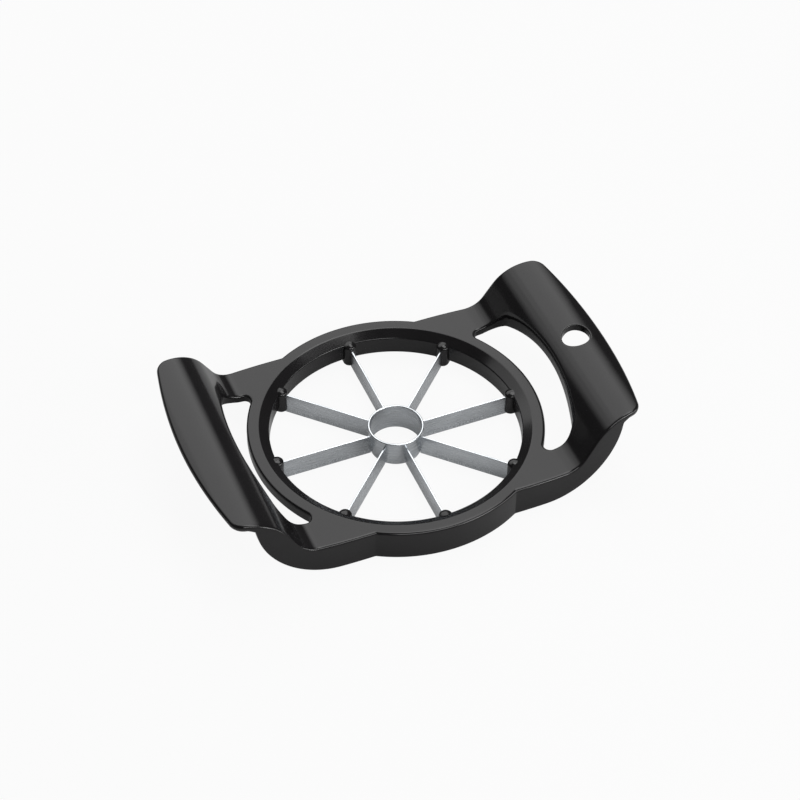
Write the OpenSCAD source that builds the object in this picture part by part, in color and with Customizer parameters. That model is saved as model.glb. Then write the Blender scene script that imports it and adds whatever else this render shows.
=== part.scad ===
// Push-down fruit slicer: a black moulded frame with two raised handles, a
// steel corer tube and eight straight steel blades. Millimetres, +Z up. The
// origin is on the table under the middle of the corer, handles along X.

/* [Frame] */
// Overall length across the two handles
frame_length = 158.4; // [150:0.2:166]
// Width of the arms and handles, front to back
frame_width = 92; // [88:0.5:96]
// Height of the flat deck above the table
deck_height = 12; // [11:0.25:13.5]
// Height of the handle crest above the table
crest_height = 30.3; // [28:0.1:33]
// Thickness of the deck, arms and handles
plate = 3; // [2.6:0.1:3.4]
// Thickness of a handle at its outer edge
lip = 1.8; // [1.7:0.05:2.2]
// Thickness of the skirt wall
skirt_wall = 2.6; // [2:0.1:3.2]
// Distance from the centre to the crest line of a handle
crest_x = 71.5; // [70:0.25:73]

/* [Ring] */
// Diameter of the cutting opening
opening_d = 90; // [86:0.5:92]
// Outside diameter of the ring
ring_d = 105.8; // [103:0.2:107]
// Thickness of the ring
ring_depth = 4.5; // [4:0.1:5.5]
// Depth of the funnel that leads into the opening
funnel_depth = 2.1; // [1.5:0.1:2.5]
// Width of the funnel
funnel_width = 3.6; // [3:0.1:4.2]
// Height above the table where the collar under the ring ends
collar_foot = 3; // [2:0.25:4]
// Wall of the collar under the ring
collar_wall = 2.2; // [1.8:0.1:2.6]

/* [Hand holes] */
// Distance from the centre to the grip edge of a hand hole
hole_reach = 59.5; // [58:0.25:60.5]
// Length of a hand hole, front to back
hole_length = 64.8; // [62:0.2:66]
// Radius of its corner beside the grip
hole_corner = 7; // [5:0.25:8]
// Radius of its corner beside the ring
hole_root = 2.25; // [1:0.25:3]

/* [Hanging hole] */
// Diameter of the hanging hole
hang_d = 10; // [8:0.5:12]
// Distance from the centre to the hanging hole
hang_x = 69.4; // [68:0.2:71]

/* [Blades] */
// Thickness of a blade
blade_t = 0.6; // [0.5:0.1:0.8]
// Height of a blade
blade_height = 8.5; // [7.5:0.25:9]
// Height of the ground edge of a blade
blade_bevel = 2; // [1:0.25:3]
// Length of blade that sits inside its socket
blade_seat = 3; // [2:0.25:3.5]

/* [Corer] */
// Outside diameter of the corer tube
tube_d = 20; // [18:0.5:22]
// Height of the corer tube
tube_height = 10.5; // [9.5:0.25:12]
// Wall of the corer tube
tube_wall = 0.8; // [0.6:0.1:1]

/* [Hidden] */
$fn = 96;
// Facets of the circles about the corer's axis
ring_facets = 180;
// Overlap between solids that join
eps = 0.1;
// Longer than the frame is wide or long
big = 200;
// How far a cut runs past the solid that it cuts
over = 1;

// NODES names one blade for each wedge
blade_count = 8;
// The cutting edges stop this far above the table
edge_gap = 0.2;
// Width of the flat that grinding leaves along a cutting edge
edge_land = 0.1;
opening_r = opening_d / 2;
ring_r = ring_d / 2;
tube_r = tube_d / 2;
blade_end = opening_r + blade_seat;

// Plan outline of the arms and handles: a long, nearly straight front edge,
// a gently bowed end and a small corner between them, all true arcs
half_length = frame_length / 2;
half_width = frame_width / 2;
front_radius = 240;
front_mid_x = 30;
end_radius = 180;
corner_radius = 5.5;

// Side profile of the deck and handle: flat, a concave bend, a straight
// climb, the rounded crest, and a gentle fall to the outer edge
bend_radius = 9;
climb_angle = 58;
crest_radius = 17.2;
fall_radius = 22;
profile_step = 6;
profile_end = half_length + 3 * over;

// Lower edge of the skirt: a quarter circle that lifts it off the table and
// runs it out under each handle
lift_start = 38.5;
lift_radius = 29;

// Bow of the grip edge of a hand hole
hole_bow = 100;

// A socket holds the outer end of each blade under the ring
socket_r = 2.4;
socket_depth = 3.8;
socket_foot = 1.2;
socket_top = deck_height - funnel_depth + 0.3;

function polar(c, r, a) = [c[0] + r * cos(a), c[1] + r * sin(a)];
function arc(c, r, a0, a1, n) = [for (i = [0:n]) polar(c, r, a0 + (a1 - a0) * i / n)];
function mirror_x(pts) = [for (p = pts) [-p[0], p[1]]];
function mirror_y(pts) = [for (p = pts) [p[0], -p[1]]];
function reversed(pts) = [for (i = [len(pts) - 1:-1:0]) pts[i]];

// Centre of the corner circle that touches the front arc and the end arc
// from inside: it lies (R - r) from the centre of each
function corner_centre(front_c, end_c, front_reach, end_reach) =
    let (d = norm(end_c - front_c),
         along = (front_reach * front_reach - end_reach * end_reach + d * d) / (2 * d),
         across = sqrt(front_reach * front_reach - along * along),
         u = (end_c - front_c) / d)
    front_c + along * u + across * [-u[1], u[0]];

function heading(v) = atan2(v[1], v[0]);

// One quarter of the outline, from the middle of the front to the middle of
// the end, drawn in by a given distance
function quarter_outline(inset) =
    let (front_c = [front_mid_x, front_radius - half_width],
         end_c = [half_length - end_radius, 0],
         corner_c = corner_centre(front_c, end_c,
             front_radius - corner_radius, end_radius - corner_radius),
         a_front = heading(corner_c - front_c),
         a_end = heading(corner_c - end_c))
    concat(
        arc(front_c, front_radius - inset, -90, a_front, 6),
        arc(corner_c, corner_radius - inset, a_front, a_end, 6),
        arc(end_c, end_radius - inset, a_end, 0, 7));

module outline(inset) {
    quarter = quarter_outline(inset);
    right = concat(quarter, reversed([for (i = [0:len(quarter) - 2]) mirror_y(quarter)[i]]));
    polygon(concat(right, reversed(mirror_x(right))));
    circle(r = ring_r - inset, $fn = ring_facets);
}

// Height profile of the right half of the skin up to the crest, lowered
// square to itself by a given depth, as arcs about fixed centres
function climb_profile(depth) =
    let (bend_c = [crest_x - crest_radius * sin(climb_angle) - climb_run
                   - bend_radius * sin(climb_angle), deck_height + bend_radius],
         crest_c = [crest_x, crest_height - crest_radius],
         steps = ceil(climb_angle / profile_step))
    concat(
        arc(bend_c, bend_radius + depth, -90, climb_angle - 90, steps),
        arc(crest_c, crest_radius - depth, 90 + climb_angle, 90, steps));

// Horizontal run of the straight climb between the bend and the crest
climb_run = (crest_height - deck_height
    - (bend_radius + crest_radius) * (1 - cos(climb_angle))) / tan(climb_angle);

// From the crest the skin falls in an arc, and the underside runs straight to
// the handle's thinner outer edge
fall_c = [crest_x, crest_height - fall_radius];
fall_angle = acos((profile_end - crest_x) / fall_radius);
lip_z = fall_c[1] + sqrt(pow(fall_radius, 2) - pow(half_length - crest_x, 2)) - lip;
skin_profile = concat(climb_profile(0), arc(fall_c, fall_radius, 90 - profile_step / 2, fall_angle, 5));
under_profile = concat(climb_profile(plate), [[half_length, lip_z], [profile_end, lip_z]]);

// Everything below a height profile, across the whole length, down to a floor
module below(half, floor) {
    polygon(concat(
        [[-profile_end, floor]], reversed(mirror_x(half)), half, [[profile_end, floor]]));
}

// What lies outside the skirt's rising lower edge
module beyond_lift() {
    for (side = [-1, 1])
        polygon([for (p = concat(
            arc([lift_start, lift_radius], lift_radius, -90, 0, 15),
            [[lift_start + lift_radius, crest_height], [profile_end + over, crest_height],
             [profile_end + over, -over], [lift_start, -over]])) [side * p[0], p[1]]]);
}

// Turns a drawing of x and height into a wall that runs front to back
module along_y() {
    rotate([90, 0, 0])
        linear_extrude(height = big, center = true)
            children();
}

// Everything over the ring from a given height up. Where the arms climb, a
// hand hole lies beside the ring, and the cut ends inside that hole.
module over_ring(height) {
    translate([0, 0, height])
        cylinder(r = ring_r + hole_root / 2, h = crest_height, $fn = ring_facets);
}

module deck_and_skirt() {
    difference() {
        intersection() {
            linear_extrude(height = crest_height + over) outline(0);
            along_y() below(skin_profile, 0);
        }
        // the ring stays level between the hand holes
        over_ring(deck_height);
        // the open underside inside the skirt
        difference() {
            intersection() {
                translate([0, 0, -over]) linear_extrude(height = crest_height + over)
                    outline(skirt_wall);
                along_y() below(under_profile, -over);
            }
            over_ring(deck_height - ring_depth);
        }
        // the skirt runs out under each handle
        along_y() intersection() {
            below(under_profile, -over);
            beyond_lift();
        }
    }
}

// Hand hole: the ring on one side, a bowed edge along the grip on the other
module hand_hole(side) {
    end_y = hole_length / 2;
    bow_c = [hole_reach - hole_bow, 0];
    corner_c = [bow_c[0] + sqrt(pow(hole_bow - hole_corner, 2) - pow(end_y - hole_corner, 2)),
                end_y - hole_corner];
    root_c = [sqrt(pow(ring_r + hole_root, 2) - pow(end_y - hole_root, 2)), end_y - hole_root];
    a_corner = heading(corner_c - bow_c);
    a_root = heading(root_c);
    half = concat(
        arc(bow_c, hole_bow, 0, a_corner, 8),
        arc(corner_c, hole_corner, a_corner, 90, 6),
        arc(root_c, hole_root, 90, 180 + a_root, 6));
    ring_side = arc([0, 0], ring_r, a_root, -a_root, 24);
    loop = concat(
        reversed(mirror_y(half)),
        [for (i = [1:len(half) - 1]) half[i]],
        [for (i = [1:len(ring_side) - 2]) ring_side[i]]);
    translate([0, 0, -over]) linear_extrude(height = crest_height + 2 * over)
        polygon([for (p = loop) [side * p[0], p[1]]]);
}

// Collar under the ring
module collar() {
    rotate_extrude($fn = ring_facets) polygon([
        [opening_r, collar_foot],
        [opening_r + collar_wall, collar_foot],
        [opening_r + collar_wall, deck_height - ring_depth + eps],
        [opening_r, deck_height - ring_depth + eps]]);
}

module funnel_and_opening() {
    rotate_extrude($fn = ring_facets) polygon([
        [0, -over],
        [opening_r, -over],
        [opening_r, deck_height - funnel_depth],
        [opening_r + funnel_width, deck_height],
        [opening_r + funnel_width, deck_height + over],
        [0, deck_height + over]]);
}

// Half-round post at the opening's edge, running back into a block under
// the ring
module socket() {
    nose = arc([opening_r, 0], socket_r, 90, 270, 10);
    back = opening_r + socket_depth;
    translate([0, 0, socket_foot]) linear_extrude(height = socket_top - socket_foot)
        polygon(concat(nose, [[back, -socket_r], [back, socket_r]]));
}

module frame() {
    color("#2b2b2c") difference() {
        union() {
            difference() {
                union() {
                    deck_and_skirt();
                    collar();
                }
                funnel_and_opening();
                hand_hole(1);
                hand_hole(-1);
                translate([hang_x, 0, 0]) cylinder(d = hang_d, h = crest_height + over, $fn = 64);
            }
            for (i = [0:blade_count - 1]) rotate(i * 360 / blade_count) socket();
        }
        for (i = [0:blade_count - 1]) rotate(i * 360 / blade_count) blade_slot();
    }
}

// The corer: a thin tube, ground to a bevel around its lower edge
module core_tube() {
    color("#c9ccd0") rotate_extrude($fn = ring_facets) polygon([
        [tube_r - tube_wall, edge_gap],
        [tube_r - tube_wall + edge_land, edge_gap],
        [tube_r, edge_gap + blade_bevel],
        [tube_r, edge_gap + tube_height],
        [tube_r - tube_wall, edge_gap + tube_height]]);
}

// Room for a blade in its socket, open below
module blade_slot() {
    translate([tube_r, -blade_t / 2, -over])
        cube([blade_end - tube_r, blade_t, over + edge_gap + blade_height]);
}

// One blade along +X: a bar with a V-ground lower edge, fitted to the tube
module blade() {
    difference() {
        rotate([90, 0, 90]) linear_extrude(height = blade_end) polygon([
            [-edge_land / 2, edge_gap],
            [edge_land / 2, edge_gap],
            [blade_t / 2, edge_gap + blade_bevel],
            [blade_t / 2, edge_gap + blade_height],
            [-blade_t / 2, edge_gap + blade_height],
            [-blade_t / 2, edge_gap + blade_bevel]]);
        translate([0, 0, -over])
            cylinder(r = tube_r, h = blade_height + 2 * over, $fn = ring_facets);
    }
}

module blade_at(i) {
    color("#d3d6da") rotate((i - 1) * 360 / blade_count) blade();
}

frame();
core_tube();
blade_at(1);  // blade_1
blade_at(2);  // blade_2
blade_at(3);  // blade_3
blade_at(4);  // blade_4
blade_at(5);  // blade_5
blade_at(6);  // blade_6
blade_at(7);  // blade_7
blade_at(8);  // blade_8
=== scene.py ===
# %% [markdown]
# # A slicer that is pushed down by two handles
#
# The real tool is one black plastic moulding that holds eight steel blades
# and a steel corer tube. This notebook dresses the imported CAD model: it
# rebuilds the moulding's skin with its small rounded edges, and gives each
# finish a material. The shapes are in millimetres until a mesh is made; the
# plastic's patterns and the lamps are in metres.

import bpy
import numpy as np
from mathutils import Matrix, Vector


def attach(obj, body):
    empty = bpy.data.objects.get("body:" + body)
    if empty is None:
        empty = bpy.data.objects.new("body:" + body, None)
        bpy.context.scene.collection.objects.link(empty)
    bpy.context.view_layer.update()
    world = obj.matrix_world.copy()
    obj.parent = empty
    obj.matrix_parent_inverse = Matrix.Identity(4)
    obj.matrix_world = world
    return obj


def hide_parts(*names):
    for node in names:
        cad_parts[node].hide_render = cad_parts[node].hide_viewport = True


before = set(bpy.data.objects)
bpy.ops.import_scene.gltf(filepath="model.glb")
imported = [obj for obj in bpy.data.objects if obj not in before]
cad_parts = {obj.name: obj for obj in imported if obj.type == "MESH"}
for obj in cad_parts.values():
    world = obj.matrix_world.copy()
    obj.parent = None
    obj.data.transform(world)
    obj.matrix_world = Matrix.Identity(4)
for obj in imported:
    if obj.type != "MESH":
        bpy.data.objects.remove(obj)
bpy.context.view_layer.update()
MM = 0.001  # one millimetre in metres
print("CAD nodes:", len(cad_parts))

# %% [markdown]
# ## The camera
#
# A camera can be placed by eye, or worked out from points whose real places
# are known. Here the ring, the skirt and both handles gave the place, the
# turn and the lens together, so the render lies over the photograph.

# %% Camera
AZIMUTH, ELEVATION, ROLL = np.radians([-22.87, 45.36, 0.70])
RIGHTWARDS, UPWARDS, BACKWARDS = 1.56, 16.28, 806.5  # its place, in mm along its own axes
FRAME_PX, FOCAL_PX = 800, 2250.7  # width of the photograph, and the lens in the same pixels
back = Vector((np.sin(AZIMUTH) * np.cos(ELEVATION),
               -np.cos(AZIMUTH) * np.cos(ELEVATION), np.sin(ELEVATION)))
level = Vector((np.cos(AZIMUTH), np.sin(AZIMUTH), 0))
steep = back.cross(level)
right = np.cos(ROLL) * level + np.sin(ROLL) * steep
up = -np.sin(ROLL) * level + np.cos(ROLL) * steep

lens = bpy.data.cameras.new("camera")
lens.sensor_width = 36
lens.lens = FOCAL_PX / FRAME_PX * lens.sensor_width
camera = bpy.data.objects.new("camera", lens)
bpy.context.collection.objects.link(camera)
place = MM * (RIGHTWARDS * right + UPWARDS * up + BACKWARDS * back)
turned_to = Matrix((right, up, back)).transposed().to_4x4()
camera.matrix_world = Matrix.Translation(place) @ turned_to
bpy.context.scene.camera = camera
print("camera at", [round(v, 3) for v in place], "lens", round(lens.lens, 1), "mm")

# %% [markdown]
# ## Numbers of the moulding
#
# The skin follows the same true arcs as the CAD source, so it needs the
# same sizes. A moulding never has a sharp edge, because steel tools are cut
# with a radius and plastic pulls back as it cools, so each edge has one.

# %% Sizes
RING_R = 52.9          # outside of the ring
OPENING_R = 45.0       # the opening that the blades cross
FUNNEL_R = 48.6        # where the funnel meets the top of the ring
DECK = 12.0            # height of the flat deck
FUNNEL_Z = DECK - 2.1  # foot of the funnel
PLATE = 3.0            # wall of the deck and handles
LIP = 1.8              # wall at a handle's outer edge
RING_LOW = DECK - 4.5  # underside of the ring
COLLAR = 2.2           # wall of the collar under the ring
COLLAR_FOOT = 3.0      # height at which the collar ends
SKIRT = 2.6            # wall of the skirt
HALF_LENGTH = 79.2     # from the middle to the end of a handle
HALF_WIDTH = 46.0      # from the middle to an arm's straight edge
CREST_X, CREST_Z = 71.5, 30.3        # top of a handle
FOOT_X, FOOT_R = 38.5, 29.0          # where the skirt leaves the table, and its arc
CLIMB = np.radians(58)               # slope of the straight climb
BEND, CREST, FALL = 9.0, 17.2, 22.0  # radii of the bend, the crest and the fall
EDGE = 1.0             # rounding of a top edge
RIM = 0.5              # rounding of a lower edge
INNER = 0.8            # fillet where the skirt meets the underside
INSET = SKIRT + INNER  # how far in the plain underside starts
SEAM = 0.15            # height that is left of the skirt under a handle
ROUND_SHARE = 0.4      # most of the skirt's inside height that one round may take
LIP_X, LIP_RUN = 67.4, 2.6  # where the skirt has run out, and how far on the lip's round is full
LIP_ROUND = 1.9        # how far in the lip's round reaches
LIP_SHARE = 0.9        # its share of the height below the top round
print("length and width in mm:", 2 * HALF_LENGTH, 2 * RING_R)

# %% [markdown]
# ## Heights as functions of x
#
# Seen from the front, deck and handle are one line: flat, a concave bend, a
# straight climb, a rounded crest and a gentle fall. A line like that can be
# a spline through points, but a moulder's drawing gives arcs, and arcs can
# be lowered square to themselves exactly: a concave arc grows by the wall
# and a convex one shrinks by it, about the same centres.

# %% Height functions
CLIMB_RUN = (CREST_Z - DECK - (BEND + CREST) * (1 - np.cos(CLIMB))) / np.tan(CLIMB)
BEND_X = CREST_X - (CREST + BEND) * np.sin(CLIMB) - CLIMB_RUN


def skin(x, depth=0.0):
    """Height of the skin, lowered square to itself by depth: centre height
    minus or plus sqrt(radius^2 - run^2) on the arcs, a line between them."""
    x = np.abs(x)
    bend, crest, fall = BEND + depth, CREST - depth, FALL - depth
    bend_end = BEND_X + bend * np.sin(CLIMB)
    crest_start = CREST_X - crest * np.sin(CLIMB)

    def bow(radius, centre_x):
        return np.sqrt(np.clip(radius ** 2 - (x - centre_x) ** 2, 0, None))

    climb_foot = DECK + BEND - bend * np.cos(CLIMB)
    return np.select(
        [x < BEND_X, x < bend_end, x < crest_start, x < CREST_X],
        [DECK - depth + 0 * x, DECK + BEND - bow(bend, BEND_X),
         climb_foot + (x - bend_end) * np.tan(CLIMB), CREST_Z - CREST + bow(crest, CREST_X)],
        CREST_Z - FALL + bow(fall, CREST_X))


def under(x):
    """Height of the underside of the deck and handles: the skin lowered by
    the plate, then from the crest a straight run to the thinner lip."""
    run = np.clip((np.abs(x) - CREST_X) / (HALF_LENGTH - CREST_X), 0, 1)
    lip_z = skin(HALF_LENGTH) - LIP
    straight = CREST_Z - PLATE + run * (lip_z - CREST_Z + PLATE)
    return np.where(np.abs(x) < CREST_X, skin(x, PLATE), straight)


def foot(x):
    """Lower edge of the skirt: on the table, then a quarter circle that
    carries it up until only a seam is left below the handle."""
    run = np.clip(np.abs(x) - FOOT_X, 0, FOOT_R)
    return np.minimum(FOOT_R - np.sqrt(FOOT_R ** 2 - run ** 2), under(x) - SEAM)


print("bend starts at x =", round(BEND_X, 2), " skin and underside at 52, 58, 79:",
      [(round(float(skin(v)), 1), round(float(under(v)), 1)) for v in (52.0, 58.0, 79.0)])

# %% [markdown]
# ## Edges in plan
#
# An edge is a chain of arcs. Each point keeps the direction out of the
# material, so that a profile can be carried along the edge: a point that
# lies d inside it is the edge point minus d times that direction. One
# quarter is enough, because the tool is the same front to back and side to
# side, apart from one hole.

# %% Arcs and chains
def arc(centre, radius, start, stop, side=1, steps=200):
    """centre + radius (cos a, sin a), with the direction out of the material
    side (cos a, sin a). Columns: x, y, and the direction's x, y."""
    a = np.radians(np.linspace(start, stop, steps + 1))
    ray = np.stack([np.cos(a), np.sin(a)], -1)
    return np.hstack([np.asarray(centre) + radius * ray, side * ray])


def chain(*runs):
    """Runs laid end to end, without the repeated joints."""
    return np.vstack([runs[0]] + [run[1:] for run in runs[1:]])


# %% Stops along a chain
def lengths(curve):
    """Length along the curve at each of its points."""
    steps = np.linalg.norm(np.diff(curve[:, :2], axis=0), axis=1)
    return np.concatenate([[0], np.cumsum(steps)])


def stops(curve, marks, counts):
    """Points along a curve: counts[i] even steps from marks[i] to marks[i + 1]."""
    at = np.concatenate([[marks[0]]] + [
        np.linspace(a, b, n + 1)[1:] for a, b, n in zip(marks[:-1], marks[1:], counts)])
    out = np.stack([np.interp(at, lengths(curve), values) for values in curve.T], -1)
    out[:, 2:] /= np.linalg.norm(out[:, 2:], axis=1, keepdims=True)
    return out


# %% [markdown]
# ### The two edges of an arm
#
# The outer edge starts at the waist, where arm and ring meet, runs almost
# straight, turns a small corner and bows round the end of the handle. The
# hand hole's edge runs beside it. Both could be drawn by eye with a curve
# object, but circles that touch can be worked out, and then this skin lies
# on the CAD model. Two circles touch where the gap between their centres is
# the difference, or the sum, of their radii.

# %% The outer edge, from the waist to the middle of the handle
def heading(x, y):
    """Direction of (x, y), in degrees from +x."""
    return np.degrees(np.arctan2(y, x))


WAIST_R, FRONT_R, END_R, TIP_R = 1.0, 240.0, 180.0, 5.5  # radii: waist, front, end, corner
FLAT_X = 30.0                                            # where the front's arc starts
waist_y = HALF_WIDTH + WAIST_R
waist = np.array([np.sqrt((RING_R + WAIST_R) ** 2 - waist_y ** 2), waist_y])
waist_turn = heading(*waist)
front_c, end_c = np.array([FLAT_X, HALF_WIDTH - FRONT_R]), np.array([HALF_LENGTH - END_R, 0.0])
# the small corner touches both arcs from inside, so its centre is this far from theirs
from_front, from_end = FRONT_R - TIP_R, END_R - TIP_R
apart = np.linalg.norm(end_c - front_c)
along = (from_front ** 2 - from_end ** 2 + apart ** 2) / (2 * apart)
unit = (end_c - front_c) / apart
sideways = np.sqrt(from_front ** 2 - along ** 2) * np.array([unit[1], -unit[0]])
corner = front_c + along * unit + sideways
turn_in, turn_out = heading(*(corner - front_c)), heading(*(corner - end_c))
rim_runs = [arc(waist, WAIST_R, waist_turn + 180, 270, -1),
            np.array([[waist[0], HALF_WIDTH, 0, 1], [FLAT_X, HALF_WIDTH, 0, 1]]),
            arc(front_c, FRONT_R, 90, turn_in),
            arc(corner, TIP_R, turn_in, turn_out),
            arc(end_c, END_R, turn_out, 0)]
rim_curve = chain(*rim_runs)
print("corner centre", corner.round(2), "waist at", waist_turn.round(2), "degrees")

# %% The hand hole's edge, from the ring to the middle of the grip
HOLE_END = 32.4               # half the length of the hole
ROOT_R, CORNER_R = 2.25, 7.0  # its corners beside the ring and beside the grip
BOW_X, BOW_R = 59.5, 100.0    # how far out the grip's bow reaches, and its radius
root_y, corner_y = HOLE_END - ROOT_R, HOLE_END - CORNER_R
root = np.array([np.sqrt((RING_R + ROOT_R) ** 2 - root_y ** 2), root_y])
root_turn = heading(*root)
bow_c = np.array([BOW_X - BOW_R, 0.0])
corner_run = np.sqrt((BOW_R - CORNER_R) ** 2 - corner_y ** 2)
hole_corner = bow_c + np.array([corner_run, corner_y])
bow_turn = heading(*(hole_corner - bow_c))
hole_runs = [arc(root, ROOT_R, 180 + root_turn, 90, -1),
             np.array([[root[0], HOLE_END, 0, -1], [hole_corner[0], HOLE_END, 0, -1]]),
             arc(hole_corner, CORNER_R, 90, bow_turn, -1),
             arc(bow_c, BOW_R, bow_turn, 0, -1)]
hole_curve = chain(*hole_runs)
print("hand hole: root at", root.round(2), "corner at", hole_corner.round(2))

# %% Stops that face each other across the arm
RIM_X = [38, 49, 60, 68]      # x of the marks on the long front arc
GRIP_Y = np.array([21, 15])   # y of the marks on the grip
START, PAST = 1.5, 4.0        # marks on the hole's edge: past its start, and past its corner's
COUNTS = [5, 10, 10, 14, 24, 8, 12, 34]  # steps from each mark to the next
rim_ends = np.cumsum([lengths(run)[-1] for run in rim_runs])
at_x = np.interp(RIM_X, rim_curve[:, 0], lengths(rim_curve))
rim_marks = [0, rim_ends[0], *at_x, *rim_ends[2:]]
hole_ends = np.cumsum([lengths(run)[-1] for run in hole_runs])
at_y = np.interp(-GRIP_Y, -hole_curve[:, 1], lengths(hole_curve))
hole_marks = [0, START, *hole_ends[:2], hole_ends[1] + PAST, hole_ends[2], *at_y, hole_ends[3]]
rim = stops(rim_curve, rim_marks, COUNTS)
hole = stops(hole_curve, hole_marks, COUNTS)
print("stops along the arm:", len(rim), len(hole))

# %% Steps across the arm and round the ring
ACROSS, HOLE_STEPS, RIM_STEPS = 22, 36, 28
across = np.linspace(0, 1, ACROSS + 1)
joint_turns = np.radians(root_turn + (waist_turn - root_turn) * across)
hole_turns = np.radians(np.linspace(0, root_turn, HOLE_STEPS + 1))
rim_turns = np.radians(np.linspace(waist_turn, 90, RIM_STEPS + 1))


def fading(rows):
    """A share for each stop, from 1 at the ring to 0 after so many rows:
    1 - s^2 (3 - 2 s), where s is the row as a share of the rows."""
    s = np.clip(np.arange(len(rim)) / rows, 0, 1)
    return 1 - s ** 2 * (3 - 2 * s)


THICK_ROWS, BENT_ROWS = 8, 22  # rows over which the ring's thickness and curve fade out
extra = (DECK - RING_LOW - PLATE) * fading(THICK_ROWS)
print("the ring is thicker than the arm by", extra[0], "mm")

# %% [markdown]
# ## Surfaces from two parameters
#
# The skin of an arm is a grid: one parameter runs along the arm, the other
# across it from the hand hole to the outer edge. The point between two
# facing stops is their mix, and the height function then lifts it, so the
# skin is exact wherever the grid lines run. A band of it is bent to end on
# the ring. An edge is a profile carried along the stops.

# %% Grids
def lift(plan, height):
    """Adds a height to points in plan."""
    return np.concatenate([plan, np.asarray(height(plan[..., 0]))[..., None]], -1)


def wing(inset, height):
    """P(s, t) = (1 - t) hole(s) + t rim(s), both drawn in by inset, plus a
    share, fading from 1 to 0, of the gap between P(0, t) and the ring's arc."""
    near = hole[:, :2] - inset * hole[:, 2:]
    far = rim[:, :2] - inset * rim[:, 2:]
    t = across[None, :, None]
    plan = (1 - t) * near[:, None] + t * far[:, None]
    ring = (RING_R - inset) * np.stack([np.cos(joint_turns), np.sin(joint_turns)], -1)
    return lift(plan + fading(BENT_ROWS)[:, None, None] * (ring - plan[0]), height)


def carry(edge, depth, height):
    """Profile along an edge: row k lies depth[k] inside it, at height(x)."""
    depth = np.atleast_2d(depth).astype(float)
    x = edge[:, 0] - depth * edge[:, 2]
    y = edge[:, 1] - depth * edge[:, 3]
    return np.stack([x, y, height(x)], -1)


def column(start, stop, steps):
    """Even steps from start to stop, one to a row."""
    return np.linspace(start, stop, steps + 1).reshape(-1, 1)


QUARTER = np.radians(column(0, 90, 6))
SMALL = np.radians(column(0, 90, 4))
INSIDE = column(0, 1, 5)[1:-1]

# %% [markdown]
# ## Rounded edges
#
# A Bevel modifier can round a solid's edges, but it pinches where they meet
# at odd angles, as they do where the skirt runs out. So each edge is a
# profile with its own quarter rounds. Where the skirt has run out, its lower
# round becomes the full round of the handle's lip.

# %% Edge profiles
def top_round(edge, radius, top):
    """Quarter round: depth r (1 - sin a), height top - r (1 - cos a)."""
    return carry(edge, radius * (1 - np.sin(QUARTER)),
                 lambda x: top(x) - radius * (1 - np.cos(QUARTER)))


def wall(edge, depth, high, low):
    """Rows between two height functions, without the first and last."""
    return carry(edge, depth + 0 * INSIDE, lambda x: (1 - INSIDE) * high(x) + INSIDE * low(x))


def outer_edge(edge, low):
    """Top round, skirt wall, round rim, inside wall and fillet. Where the
    skirt fades out under the handle the inside rounds shrink with it, and the
    rim grows into the lip's round, an ellipse nearly as high as the lip."""
    def room(x, most):
        return np.minimum(most, ROUND_SHARE * (low(x) - foot(x)))

    def lip(x):
        return np.clip((np.abs(x) - LIP_X) / LIP_RUN, 0, 1)

    def rise(x):
        return RIM + lip(x) * (LIP_SHARE * (skin(x) - EDGE - foot(x)) - RIM)

    spread = RIM + (LIP_ROUND - RIM) * lip(edge[:, 0])
    return np.concatenate([
        top_round(edge, EDGE, skin),
        wall(edge, 0, lambda x: skin(x) - EDGE, lambda x: foot(x) + rise(x)),
        carry(edge, spread * (1 - np.cos(SMALL)),
              lambda x: foot(x) + rise(x) * (1 - np.sin(SMALL))),
        carry(edge, SKIRT - RIM * (1 - np.sin(SMALL)),
              lambda x: foot(x) + room(x, RIM) * (1 - np.cos(SMALL))),
        wall(edge, SKIRT, lambda x: foot(x) + room(x, RIM),
             lambda x: low(x) - room(x, INNER)),
        carry(edge, SKIRT + INNER * (1 - np.cos(SMALL)),
              lambda x: low(x) - room(x, INNER) * (1 - np.sin(SMALL)))])


def hole_edge(edge, top, low, radius=EDGE):
    """Top round, wall, lower round, and the flat run in to the inset."""
    return np.concatenate([
        top_round(edge, radius, top),
        wall(edge, 0, lambda x: top(x) - radius, lambda x: low(x) + RIM),
        carry(edge, RIM * (1 - np.cos(SMALL)), lambda x: low(x) + RIM * (1 - np.sin(SMALL))),
        carry(edge, column(RIM, INSET, 3)[1:], low)])


# %% [markdown]
# ## The ring
#
# The ring has one section all the way round: the flat top, the funnel that
# slopes in to the opening, the opening's wall, and the collar below. A Screw
# modifier could turn it about the axis. Sines and cosines do the same here,
# at the very angles where the arms' grids end, so that ring and arms meet.

# %% A line with rounded corners
def rounded(corners, radii, steps=6):
    """A bent line whose corners are cut by arcs: for half the corner's inner
    angle h and radius r, the arc starts r / tan h before the corner."""
    out = [corners[0]]
    for before, point, after, r in zip(corners[:-2], corners[1:-1], corners[2:], radii):
        a = (before - point) / np.linalg.norm(before - point)
        b = (after - point) / np.linalg.norm(after - point)
        half = np.arccos(np.clip(a @ b, -1, 1)) / 2
        middle = point + (a + b) / np.linalg.norm(a + b) * r / np.sin(half)
        first = point + a * r / np.tan(half) - middle
        last = point + b * r / np.tan(half) - middle
        share = np.linspace(0, 1, steps + 1)[:, None]
        gap = np.pi - 2 * half
        swing = np.sin((1 - share) * gap) * first + np.sin(share * gap) * last
        out.extend(middle + swing / np.sin(gap))
    return np.array(out + [corners[-1]])


# %% The ring's section, turned about the corer's axis
def turned(profile, turns):
    """(r cos a, r sin a, z) for each row r, z and each angle a."""
    r, z = profile[:, :1], profile[:, 1:]
    return np.stack([r * np.cos(turns), r * np.sin(turns), z + 0 * turns], -1)


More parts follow.
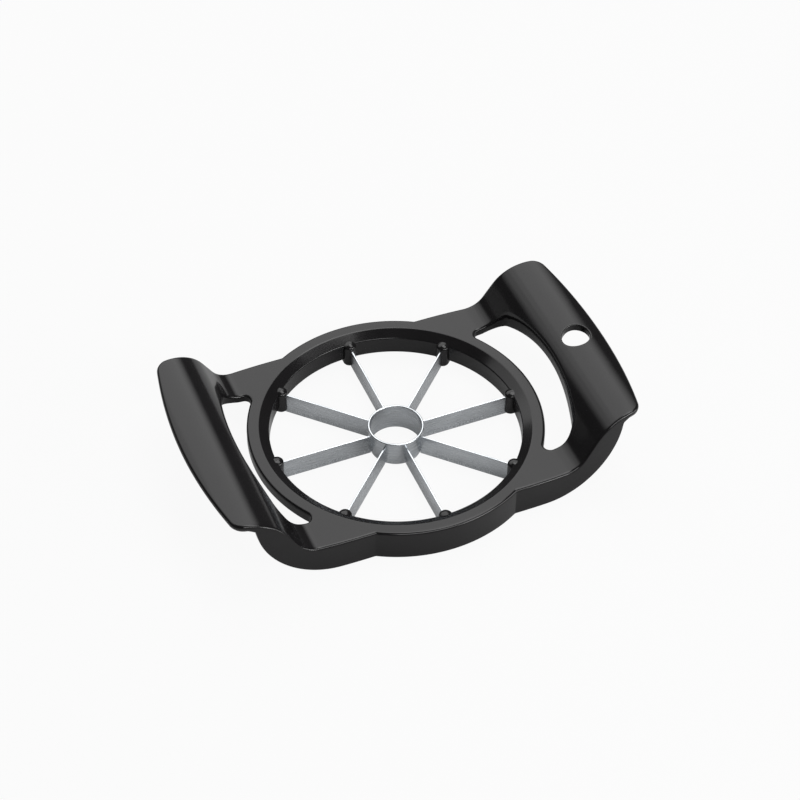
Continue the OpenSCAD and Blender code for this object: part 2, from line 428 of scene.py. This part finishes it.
def ring_edge(turns):
    """The ring's outer edge, with its direction out of the material."""
    ray = np.stack([np.cos(turns), np.sin(turns)], -1)
    return np.hstack([RING_R * ray, ray])


# radii: the funnel's two edges, the collar's two feet, the fillet under the ring
RING_ROUNDS = [1.2, 0.7, 0.4, 0.4, 0.6]
ring_profile = rounded(np.array([
    [RING_R - EDGE, DECK], [FUNNEL_R, DECK], [OPENING_R, FUNNEL_Z], [OPENING_R, COLLAR_FOOT],
    [OPENING_R + COLLAR, COLLAR_FOOT], [OPENING_R + COLLAR, RING_LOW],
    [RING_R - INSET, RING_LOW]]), RING_ROUNDS)
ring_turns = np.concatenate([hole_turns, joint_turns[1:], rim_turns[1:]])
ring_side, centre_side = ring_edge(hole_turns), ring_edge(rim_turns)
print("ring section:", len(ring_profile), "points, turned to", len(ring_turns), "angles")

# %% [markdown]
# ## From grids to one closed mesh
#
# Each grid becomes quads, and grids that share an edge have the same points
# on it, so welding equal points closes the shell. A closed shell has every
# edge in exactly two faces, which is easy to count. Smooth shading then
# weighs each face by its area, so wide faces stay flat beside small rounds.

# %% Patches and mirrors
def patch(points, faces_up=True, keep=None):
    """Points and quads of a grid. The first row of quads is made to face up
    or down, and the rest follow it; keep leaves quads out."""
    rows, cols = points.shape[:2]
    first = np.arange(rows - 1)[:, None] * cols + np.arange(cols - 1)
    quads = np.stack([first, first + 1, first + cols + 1, first + cols], -1)
    flat = points.reshape(-1, 3)
    a, b, c, d = (flat[quads[0][:, k]] for k in range(4))
    if (np.cross(c - a, d - b)[:, 2].sum() > 0) != faces_up:
        quads = quads[..., ::-1]
    quads = quads.reshape(-1, 4) if keep is None else quads[keep]
    return flat, quads


def mirrored(patches, signs):
    """The same patches with x or y turned over, and each quad with them."""
    odd = signs[0] * signs[1] < 0
    return [(p * [*signs, 1], q[:, ::-1] if odd else q) for p, q in patches]


# %% The weld and its checks
def weld(patches):
    """One list of points and faces; points equal to 0.1 micron become one.
    The odd shift keeps round sizes off the edge between two whole numbers."""
    starts = np.cumsum([0] + [len(p) for p, q in patches[:-1]])
    points = np.concatenate([p for p, q in patches])
    faces = np.concatenate([q + s for (p, q), s in zip(patches, starts)])
    _, index, back_to = np.unique(np.round(points * 1e4 + 0.137).astype(int),
                                  axis=0, return_index=True, return_inverse=True)
    faces = back_to.reshape(-1)[faces]
    sizes = np.array([len(set(f)) for f in faces.tolist()])
    return points[index], faces[sizes > 2]


def loose_edges(faces):
    """How many edges don't lie in exactly two faces."""
    pairs = np.sort(np.stack([faces, np.roll(faces, -1, 1)], -1).reshape(-1, 2), 1)
    pairs = pairs[pairs[:, 0] != pairs[:, 1]]
    return int((np.unique(pairs, axis=0, return_counts=True)[1] != 2).sum())


def area_normals(points, faces):
    """Vertex normals: the sum of the faces' cross products, which weighs each
    face by its area."""
    a, b, c, d = (points[faces[:, k]] for k in range(4))
    face = np.cross(c - a, d - b)
    out = np.zeros_like(points)
    for k in range(4):
        np.add.at(out, faces[:, k], face)
    return out / np.maximum(np.linalg.norm(out, axis=1, keepdims=True), 1e-12)


# %% [markdown]
# ## The hanging hole
#
# One handle has a round hole to hang the tool by. A Boolean modifier would
# cut it, and leave thin faces that shade badly on the curved skin. Here a
# block of the grid is left out, and straight rays join the block's edge to
# the circle.

# %% The block that is left out
HANG_X, HANG_R, HANG_EDGE = 69.4, 5.0, 0.6       # centre, radius and rounding of the hole
BLOCK_IN, BLOCK_OUT, BLOCK_HALF = 7.4, 7.0, 8.5  # the block's reach from the centre
top_wing = wing(EDGE, skin)
low_wing = wing(INSET, lambda x: under(x) - extra[:, None])
mid_row = top_wing[-1, :, 0]
first_col = np.searchsorted(mid_row, HANG_X - BLOCK_IN) - 1
last_col = np.searchsorted(mid_row, HANG_X + BLOCK_OUT)
first_row = np.searchsorted(-top_wing[:, first_col, 1], -BLOCK_HALF)
keep = np.ones((len(hole) - 1, ACROSS), bool)
keep[first_row:, first_col:last_col] = False
print("faces left out:", int((~keep).sum()), "of", keep.size)


# %% Rays from the block to the circle
def border(grid):
    """The block's edge, from the x axis round to the x axis again."""
    return np.concatenate([grid[:first_row:-1, first_col], grid[first_row, first_col:last_col],
                           grid[first_row:, last_col]])[:, :2]


rays = np.arctan2(border(top_wing)[:, 1], border(top_wing)[:, 0] - HANG_X)
hang_edge = np.stack([HANG_X + HANG_R * np.cos(rays), HANG_R * np.sin(rays),
                      -np.cos(rays), -np.sin(rays)], -1)


def round_hole(grid, inset, height):
    """P(ray, w) = (1 - w) block edge + w circle, lifted by the height."""
    circle = hang_edge[:, :2] - inset * hang_edge[:, 2:]
    w = column(0, 1, 7)[:, None]
    return lift((1 - w) * border(grid) + w * circle, height)


# %% [markdown]
# ## Four quarters
#
# One quarter is made, and the rest are its mirror images. A Mirror modifier
# would do it for a tool that was the same all round, but only one side has
# the hanging hole, so the patches are mirrored before they are welded.

# %% Put the quarter together and mirror it
def ring_top(x):
    return DECK + 0 * x


def ring_low(x):
    return RING_LOW + 0 * x


def arm_low(x):
    """The arm's underside, with the ring's own thickness fading into it."""
    return under(x) - extra


shared = [patch(turned(ring_profile, ring_turns)),
          patch(hole_edge(ring_side, ring_top, ring_low)),
          patch(hole_edge(hole, skin, arm_low)),
          patch(outer_edge(rim, arm_low)),
          patch(outer_edge(centre_side, ring_low))]
plain = [patch(top_wing), patch(low_wing, False)]
with_hole = [patch(top_wing, True, keep), patch(low_wing, False, keep),
             patch(round_hole(top_wing, HANG_EDGE, skin)),
             patch(round_hole(low_wing, RIM, under), False),
             patch(hole_edge(hang_edge, skin, under, HANG_EDGE)[:-3])]  # without its flat run
patches = [p for sx in (1, -1) for sy in (1, -1)
           for p in mirrored(shared + (with_hole if sx > 0 else plain), (sx, sy))]
frame_points, frame_faces = weld(patches)
print("frame:", len(frame_points), "points,", len(frame_faces), "faces")
print("open edges:", loose_edges(frame_faces))

# %% [markdown]
# ## Posts that hold the blades
#
# Inside the opening each blade ends in a half-round post, moulded with the
# ring. Its plan is a half circle with two straight sides that run back into
# the ring; drawn in row by row it closes over the blade as a low dome.

# %% Eight posts
POST_R, POST_BACK = 2.4, OPENING_R + 3.8  # half its width, and how far out it runs
POST_FOOT, POST_SHOULDER, POST_RISE = 1.2, 9.2, 1.3  # heights: its foot, its dome's foot and rise
post_edge = np.vstack([[[POST_BACK, POST_R, 0, 1]],
                       arc((OPENING_R, 0), POST_R, 90, 270, steps=20),
                       [[POST_BACK, -POST_R, 0, -1], [POST_BACK, POST_R, 0, 1]]])
post_depth = np.vstack([[[POST_R]], RIM * (1 - np.sin(SMALL)), POST_R * (1 - np.cos(QUARTER))])
post_height = np.vstack([[[POST_FOOT]], POST_FOOT + RIM * (1 - np.cos(SMALL)),
                         POST_SHOULDER + POST_RISE * np.sin(QUARTER)])
post = carry(post_edge, post_depth, lambda x: post_height + 0 * x)


def about_z(points, degrees):
    """Points turned about the corer's axis."""
    c, s = np.cos(np.radians(degrees)), np.sin(np.radians(degrees))
    return points @ np.array([[c, s, 0], [-s, c, 0], [0, 0, 1]])


BLADES = 8
PITCH = 360 // BLADES  # degrees from one to the next
post_points, post_faces = weld([patch(about_z(post, PITCH * i), faces_up=False)
                                for i in range(BLADES)])
print("posts:", len(post_faces), "faces, open edges:", loose_edges(post_faces))

# %% [markdown]
# ## Materials
#
# A material starts from what the real one is. The helper below adds one
# node with its settings and links, so a material reads like a recipe, and
# one function turns the hex colours of a paint chart into linear light.

# %% Colour and node helpers
def linear(hex_colour):
    """sRGB to linear: c / 12.92 below 0.04045, else ((c + 0.055) / 1.055)^2.4."""
    c = np.array([int(hex_colour[i:i + 2], 16) for i in (1, 3, 5)]) / 255
    return (*np.where(c <= 0.04045, c / 12.92, ((c + 0.055) / 1.055) ** 2.4), 1.0)


print("#808080 in linear light:", round(float(linear("#808080")[0]), 3))


def add(tree, kind, sockets=None, **settings):
    """Adds one node. settings are its own fields; sockets holds, by name or
    number, either a value or the output that feeds it."""
    node = tree.nodes.new(kind)
    for field, value in settings.items():
        setattr(node, field, value)
    for name, value in (sockets or {}).items():
        if isinstance(value, bpy.types.NodeSocket):
            tree.links.new(value, node.inputs[name])
        else:
            node.inputs[name].default_value = value
    return node


def material(name):
    """An empty node material and its tree."""
    made = bpy.data.materials.new(name)
    made.use_nodes = True
    made.node_tree.nodes.clear()
    return made, made.node_tree


# %% [markdown]
# ### Black ABS, moulded
#
# ABS fresh from a polished steel mould is satin-gloss: it mirrors a lamp
# with a slightly soft edge. Real ABS has an IOR near 1.54, and 1.4 matches
# how faintly this skin mirrors. What breaks the mirror is the flow of the
# melt, long waves a few hundredths of a millimetre high, and a fine grain
# from the mould, about 0.2 mm, drawn here as 0.5 mm so that it can show.
# Hands polish and scuff it in soft patches.

# %% Black ABS
SCUFF, GRAIN, FLOW = 0.014, 0.0005, 0.022      # size of each pattern, in metres
GRAIN_HEIGHT, FLOW_HEIGHT = 0.000002, 0.00006  # height of grain and waves, in metres
black_abs, tree = material("black_abs_moulded")
spot = add(tree, "ShaderNodeTexCoord").outputs["Object"]
scuff = add(tree, "ShaderNodeTexNoise", {"Vector": spot, "Scale": 1 / SCUFF, "Detail": 4.0})
fine = add(tree, "ShaderNodeTexNoise", {"Vector": spot, "Scale": 1 / GRAIN, "Detail": 2.0})
flow = add(tree, "ShaderNodeTexNoise", {"Vector": spot, "Scale": 1 / FLOW, "Detail": 1.0})
gloss = add(tree, "ShaderNodeMapRange", {"Value": scuff.outputs["Fac"], "From Min": 0.3,
                                         "From Max": 0.7, "To Min": 0.12, "To Max": 0.18})
tone = add(tree, "ShaderNodeValToRGB", {"Fac": scuff.outputs["Fac"]})
tone.color_ramp.elements[0].color = linear("#0e0d0e")
tone.color_ramp.elements[1].color = linear("#151415")
waves = add(tree, "ShaderNodeBump", {"Height": flow.outputs["Fac"], "Distance": FLOW_HEIGHT,
                                     "Strength": 1.0})
grain = add(tree, "ShaderNodeBump", {"Height": fine.outputs["Fac"], "Distance": GRAIN_HEIGHT,
                                     "Strength": 1.0, "Normal": waves.outputs["Normal"]})
shader = add(tree, "ShaderNodeBsdfPrincipled", {"Base Color": tone.outputs["Color"], "IOR": 1.4,
                                                "Roughness": gloss.outputs["Result"],
                                                "Normal": grain.outputs["Normal"]})
add(tree, "ShaderNodeOutputMaterial", {"Surface": shader.outputs["BSDF"]})
print("black ABS:", len(tree.nodes), "nodes")

# %% [markdown]
# ### Stainless steel, brushed
#
# The blades are cut from strip that was brushed along its length, and the
# tube was polished while it turned, so its lines run round it. Both have a
# UV map in millimetres whose U runs along the lines: a noise squeezed 60
# times across them gives streaks of about 0.15 mm, coarser than the real
# 0.03 mm so that they show. The ground bevel is brushed across the edge.

# %% Brushed stainless
FINE, LONG, SHORT = 6.5, 0.11, 0.3  # noise per mm: across the lines, along them, along ground ones


def brushed(name, dark, light, rough, bevel_to):
    """Brushed steel whose lines follow U; below V = bevel_to they cross it."""
    made, tree = material(name)
    uv = add(tree, "ShaderNodeUVMap", uv_map="UVMap").outputs["UV"]
    lines = add(tree, "ShaderNodeMapping", {"Vector": uv, "Scale": (LONG, FINE, 1.0)})
    cross = add(tree, "ShaderNodeMapping", {"Vector": uv, "Scale": (FINE, SHORT, 1.0)})
    streak = add(tree, "ShaderNodeTexNoise", {"Vector": lines.outputs["Vector"], "Scale": 1.0,
                                              "Detail": 5.0})
    ground = add(tree, "ShaderNodeTexNoise", {"Vector": cross.outputs["Vector"], "Scale": 1.0,
                                              "Detail": 3.0})
    height = add(tree, "ShaderNodeSeparateXYZ", {"Vector": uv}).outputs["Y"]
    on_bevel = add(tree, "ShaderNodeMath", {0: height, 1: bevel_to}, operation="LESS_THAN")
    both = add(tree, "ShaderNodeMix", {"Factor": on_bevel.outputs[0], 2: streak.outputs["Fac"],
                                       3: ground.outputs["Fac"]}, data_type="FLOAT")
    tone = add(tree, "ShaderNodeValToRGB", {"Fac": both.outputs[0]})
    for stop, colour, position in zip(tone.color_ramp.elements, (dark, light), (0.3, 0.7)):
        stop.color, stop.position = linear(colour), position
    gloss = add(tree, "ShaderNodeMapRange", {"Value": both.outputs[0], "From Min": 0.3,
                                             "From Max": 0.7, "To Min": rough - 0.06,
                                             "To Max": rough + 0.08})
    bump = add(tree, "ShaderNodeBump", {"Height": both.outputs[0], "Distance": 0.00001,
                                        "Strength": 0.6})
    shader = add(tree, "ShaderNodeBsdfPrincipled", {"Base Color": tone.outputs["Color"],
                                                    "Metallic": 1.0,
                                                    "Roughness": gloss.outputs["Result"],
                                                    "Normal": bump.outputs["Normal"]})
    add(tree, "ShaderNodeOutputMaterial", {"Surface": shader.outputs["BSDF"]})
    return made


blade_steel = brushed("stainless_strip_brushed", "#a9adb1", "#d2d5d8", 0.26, 2.05)
tube_steel = brushed("stainless_tube_polished", "#a4a8ac", "#cfd2d5", 0.22, 2.15)
print("brushed steel:", len(blade_steel.node_tree.nodes), "nodes in each of two materials")

# %% [markdown]
# ## Making the pieces
#
# The points now become Blender meshes in metres. A piece that takes a CAD
# node's place hides that node and rides on the one rigid body.

# %% Mesh maker and the moulding
def finish_piece(obj, slot, *nodes):
    """Rides on the only body and hides the CAD nodes it stands for; slot is not used."""
    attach(obj, "root")
    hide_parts(*nodes)
    obj.select_set(False)


def make_mesh(name, points, faces, finish):
    """A smooth mesh object at the origin, from millimetre points."""
    mesh = bpy.data.meshes.new(name)
    mesh.from_pydata((points * MM).tolist(), [], [list(dict.fromkeys(f)) for f in faces])
    mesh.shade_smooth()
    mesh.materials.append(finish)
    obj = bpy.data.objects.new(name, mesh)
    bpy.context.collection.objects.link(obj)
    return obj


all_points = np.vstack([frame_points, post_points])
all_faces = np.vstack([frame_faces, post_faces + len(frame_points)])
moulding = make_mesh("moulded_frame", all_points, all_faces.tolist(), black_abs)
moulding.data.normals_split_custom_set_from_vertices(area_normals(all_points, all_faces).tolist())
finish_piece(moulding, "frame_plastic", "frame")
print("moulding:", len(moulding.data.polygons), "faces")

# %% [markdown]
# ## Blades and corer
#
# Both are closed sections carried along a line: a blade's section along its
# length, and the tube wall's section round the axis. Distance along and
# distance round the section, in millimetres, are the UV map. A blade is
# ground on both sides, so on it the second distance starts at either foot.

# %% Sections along a line
CRISP = np.radians(28)  # an edge that turns by more than this isn't shaded smooth


def swept(name, sections, along, finish, closed=False, folded=False):
    """Faces between neighbouring sections, with caps unless the sweep is
    closed. UV = (distance along, distance round the section), which a folded
    section counts up both of its sides."""
    rows, cols = sections.shape[:2]
    loop = np.concatenate([sections[0], sections[0][:1]])
    round_it = np.concatenate([[0], np.cumsum(np.linalg.norm(np.diff(loop, axis=0), axis=1))])
    if folded:
        round_it = np.minimum(round_it, np.abs(round_it[-2] - round_it))
    i, j = np.meshgrid(np.arange(rows if closed else rows - 1), np.arange(cols),
                       indexing="ij")
    corners = [(i, j), (i + 1, j), (i + 1, j + 1), (i, j + 1)]
    quads = np.stack([(a % rows) * cols + b % cols for a, b in corners], -1).reshape(-1, 4)
    uv = np.stack([np.stack([along[a], round_it[b]], -1) for a, b in corners], 2).reshape(-1, 2)
    faces = quads.tolist()
    if not closed:
        faces += [list(range(cols))[::-1], list(range((rows - 1) * cols, rows * cols))]
        uv = np.vstack([uv, np.zeros((2 * cols, 2))])
    obj = make_mesh(name, sections.reshape(-1, 3), faces, finish)
    obj.data.uv_layers.new(name="UVMap").data.foreach_set("uv", uv.ravel())
    obj.data.set_sharp_from_angle(angle=CRISP)
    return obj


# %% Blades: a V-ground foot and a top with its corners just broken
HALF_T, BLADE_FOOT, BLADE_TOP = 0.3, 0.2, 8.7  # half its thickness, and its heights
BEVEL, LAND, BREAK = 2.0, 0.1, 0.12  # height of the bevel, its flat edge, and the broken corner
FROM, TO = 9.6, 48.0                 # it runs from the tube's wall into its socket
turn = np.radians(np.linspace(0, 90, 5))
corner_yz = np.stack([HALF_T - BREAK + BREAK * np.cos(turn),
                      BLADE_TOP - BREAK + BREAK * np.sin(turn)], -1)
side_yz = np.vstack([[[LAND / 2, BLADE_FOOT], [HALF_T, BLADE_FOOT + BEVEL]], corner_yz])
blade_yz = np.vstack([side_yz, (side_yz * [-1, 1])[::-1]])
blade_x = np.linspace(FROM, TO, 9)
blade_sections = np.stack([np.stack([np.full(len(blade_yz), x), *blade_yz.T], -1)
                           for x in blade_x])
for i in range(BLADES):
    # 50 mm further along the pattern for each, so that no two show the same lines
    blade = swept("blade_strip_%d" % (i + 1), about_z(blade_sections, PITCH * i),
                  blade_x + 50 * i, blade_steel, folded=True)
    finish_piece(blade, "blade_steel", "blade_%d" % (i + 1))
print("blade section:", len(blade_yz), "points")

# %% Corer tube: bevelled foot, rounded rim
TUBE_R, TUBE_IN, TUBE_TOP = 10.0, 9.2, 10.7  # outside, inside and top of the tube
TUBE_ROUNDS = [0.05, 0.3, 0.3]               # top of the bevel, and both edges of the rim
tube_rz = rounded(np.array([
    [TUBE_IN + LAND, BLADE_FOOT], [TUBE_R, BLADE_FOOT + BEVEL], [TUBE_R, TUBE_TOP],
    [TUBE_IN, TUBE_TOP], [TUBE_IN, BLADE_FOOT]]), TUBE_ROUNDS, 5)
tube_turns = np.linspace(0, 360, 129)
tube_section = np.stack([tube_rz[:, 0], 0 * tube_rz[:, 0], tube_rz[:, 1]], -1)
tube_sections = np.stack([about_z(tube_section, a) for a in tube_turns[:-1]])
tube = swept("corer_tube", tube_sections, np.radians(tube_turns) * TUBE_R, tube_steel,
             closed=True)
finish_piece(tube, "tube_steel", "core_tube")
print("tube section:", len(tube_rz), "points")


# %% Volumes, which are positive when the faces point outwards
def volume(mesh):
    """Signed volume in mm3: a sixth of the sum of a . (b x c) over triangles."""
    at = np.empty(len(mesh.vertices) * 3)
    mesh.vertices.foreach_get("co", at)
    mesh.calc_loop_triangles()
    corners = np.empty(len(mesh.loop_triangles) * 3, int)
    mesh.loop_triangles.foreach_get("vertices", corners)
    a, b, c = at.reshape(-1, 3)[corners.reshape(-1, 3)].transpose(1, 0, 2)
    return float((a * np.cross(b, c)).sum() / 6 / MM ** 3)


for obj in (moulding, tube, bpy.data.objects["blade_strip_1"]):
    print(obj.name, "volume", round(volume(obj.data), 1), "mm3")

# %% [markdown]
# ## The floor
#
# The floor is pale grey card. Light Path lets the camera see it close to
# full white, so the page stays white without more light on the object, and
# a share of its lit colour keeps the tool's shadow. Mirror and glass rays
# see part of that white too.

# %% Floor
floor_mesh = bpy.data.meshes.new("floor")
FLOOR = 4.0  # half its side, in metres
floor_corners = FLOOR * np.array([[-1, -1, 0], [1, -1, 0], [1, 1, 0], [-1, 1, 0]])
floor_mesh.from_pydata(floor_corners.tolist(), [], [(0, 1, 2, 3)])
floor = bpy.data.objects.new("floor", floor_mesh)
bpy.context.collection.objects.link(floor)
SEEN, MIRRORED = 0.93, 0.2  # share of plain white that the camera and mirror rays see
card, tree = material("pale_card")
path = add(tree, "ShaderNodeLightPath")
mirror = add(tree, "ShaderNodeMath", {0: path.outputs["Is Glossy Ray"],
                                      1: path.outputs["Is Transmission Ray"]},
             operation="MAXIMUM")
mirror = add(tree, "ShaderNodeMath", {0: mirror.outputs[0], 1: MIRRORED}, operation="MULTIPLY")
direct = add(tree, "ShaderNodeMath", {0: path.outputs["Is Camera Ray"], 1: SEEN},
             operation="MULTIPLY")
share = add(tree, "ShaderNodeMath", {0: direct.outputs[0], 1: mirror.outputs[0]},
            operation="MAXIMUM")
matt = add(tree, "ShaderNodeBsdfDiffuse", {"Color": linear("#b4b4b4")})
white = add(tree, "ShaderNodeEmission", {"Color": linear("#ffffff"), "Strength": 1.0})
mixed = add(tree, "ShaderNodeMixShader", {"Fac": share.outputs[0], 1: matt.outputs["BSDF"],
                                          2: white.outputs["Emission"]})
add(tree, "ShaderNodeOutputMaterial", {"Surface": mixed.outputs["Shader"]})
floor_mesh.materials.append(card)
print("floor:", 2 * FLOOR, "m wide")

# %% [markdown]
# ## Lamps and the room
#
# The main lamp is a wide softbox above and behind: flat black plastic
# mirrors it, and slopes that face away stay black. A real softbox fades
# towards its sides, so five plain lamps of growing width share its
# strength. The others are there for the rounded edges, which mirror them as
# thin bright lines: one overhead, a small and a dim one in front, one at
# the front corner, and one low at the right. The room itself is dim, but
# white where the camera looks at it.

# %% Lamps
def softbox(name, place, size, radiance, aim=None):
    """A rectangular lamp aimed at the object, or along aim. A lamp of P watts
    and area A has a radiance of P / (pi A)."""
    lamp = bpy.data.lights.new(name, "AREA")
    lamp.shape = "RECTANGLE"
    lamp.size, lamp.size_y = size
    lamp.energy = np.pi * size[0] * size[1] * radiance
    obj = bpy.data.objects.new(name, lamp)
    bpy.context.collection.objects.link(obj)
    obj.location = place
    obj.rotation_euler = Vector(aim or place).to_track_quat("Z", "Y").to_euler()


BEHIND = (0, 0.62, 0.66)
# the left and right end of each plain lamp behind, in metres
SPANS = [(-0.22, 0.43), (-0.39, 0.50), (-0.58, 0.55), (-0.67, 0.60), (-0.77, 0.66)]
for i, (from_x, to_x) in enumerate(SPANS):
    stagger = 1 + 0.004 * i  # so that no two lie in one plane
    middle = ((from_x + to_x) / 2, BEHIND[1] * stagger, BEHIND[2] * stagger)
    softbox("softbox_behind_%d" % i, middle, (to_x - from_x, 0.66), 0.46, aim=BEHIND)
softbox("softbox_overhead", (0.30, 0.14, 1.0), (0.7, 0.46), 4.5)
softbox("softbox_front", (0.0, -0.75, 0.65), (0.6, 0.3), 5.0)
softbox("softbox_corner", (0.52, -0.80, 0.38), (0.42, 0.30), 10.0)
softbox("card_front", (0.25, -0.80, 0.64), (1.2, 0.9), 0.4)
softbox("card_right", (0.86, -0.48, 0.24), (0.5, 0.46), 3.5)
print("lamps:", len(bpy.data.lights))

# %% The room
DIM, IN_MIRROR = 0.06, 0.05  # its strength, and what mirror rays see on top
world = bpy.data.worlds.new("room")
bpy.context.scene.world = world
world.use_nodes = True
world.node_tree.nodes.clear()
tree = world.node_tree
path = add(tree, "ShaderNodeLightPath")
mirror = add(tree, "ShaderNodeMath", {0: path.outputs["Is Glossy Ray"],
                                      1: path.outputs["Is Transmission Ray"]},
             operation="MAXIMUM")
mirror = add(tree, "ShaderNodeMath", {0: mirror.outputs[0], 1: IN_MIRROR, 2: DIM},
             operation="MULTIPLY_ADD")
strength = add(tree, "ShaderNodeMath", {0: path.outputs["Is Camera Ray"], 1: mirror.outputs[0]},
               operation="MAXIMUM")
room = add(tree, "ShaderNodeBackground", {"Color": linear("#ffffff"),
                                          "Strength": strength.outputs[0]})
add(tree, "ShaderNodeOutputWorld", {"Surface": room.outputs["Background"]})
bpy.context.scene.view_settings.view_transform = "Standard"
